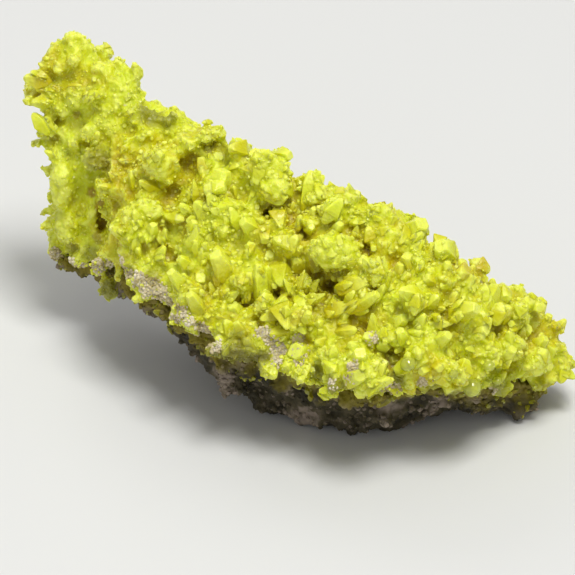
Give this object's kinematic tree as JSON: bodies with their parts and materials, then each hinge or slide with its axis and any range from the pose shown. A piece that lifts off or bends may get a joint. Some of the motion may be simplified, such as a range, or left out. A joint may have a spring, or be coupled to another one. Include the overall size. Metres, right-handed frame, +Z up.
{
  "type": "native sulfur crystal",
  "caption": "Long free-standing druse of translucent yellow sulfur crystals on a strip of pale host rock, with a flat underside to rest on.",
  "frame": {"origin": "middle of the specimen's box, on the plane that it rests on", "axes": "+X along the specimen, from its tower to its low end; +Z up; the crystal face looks towards -Y and up"},
  "size_m": [0.1116, 0.0758, 0.0604],
  "materials": {
    "sulfur": "translucent lemon-yellow crystal, resinous to glassy, with flat facets",
    "matrix": "matt granular host rock, pale pinkish grey to brown"
  },
  "bodies": {
    "root": {"sulfur_crust": "sulfur", "matrix": "matrix"}
  },
  "joints": []
}
